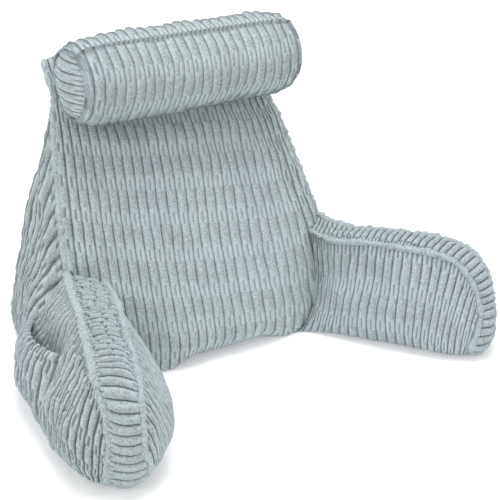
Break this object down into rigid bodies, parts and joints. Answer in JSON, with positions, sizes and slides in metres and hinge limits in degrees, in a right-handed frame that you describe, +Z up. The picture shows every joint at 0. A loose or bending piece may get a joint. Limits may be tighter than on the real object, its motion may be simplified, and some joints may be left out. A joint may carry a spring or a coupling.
{
  "type": "reading pillow with arms and a neck roll",
  "caption": "Filled back-rest pillow in ribbed plush with forward arms, a neck roll across its top and an open phone pocket on the outside of an arm.",
  "frame": {"origin": "middle of the part's box, on the floor that the pillow stands on", "axes": "+X to the right of someone facing the pillow's front, +Y to its back, +Z up"},
  "size_m": [0.7232, 0.578, 0.4705],
  "materials": {
    "cover": "ribbed plush",
    "roll_cover": "ribbed plush",
    "pocket_cloth": "ribbed plush"
  },
  "bodies": {
    "root": {"pillow_body": "cover", "neck_roll": "roll_cover", "phone_pocket": "pocket_cloth"}
  },
  "joints": []
}
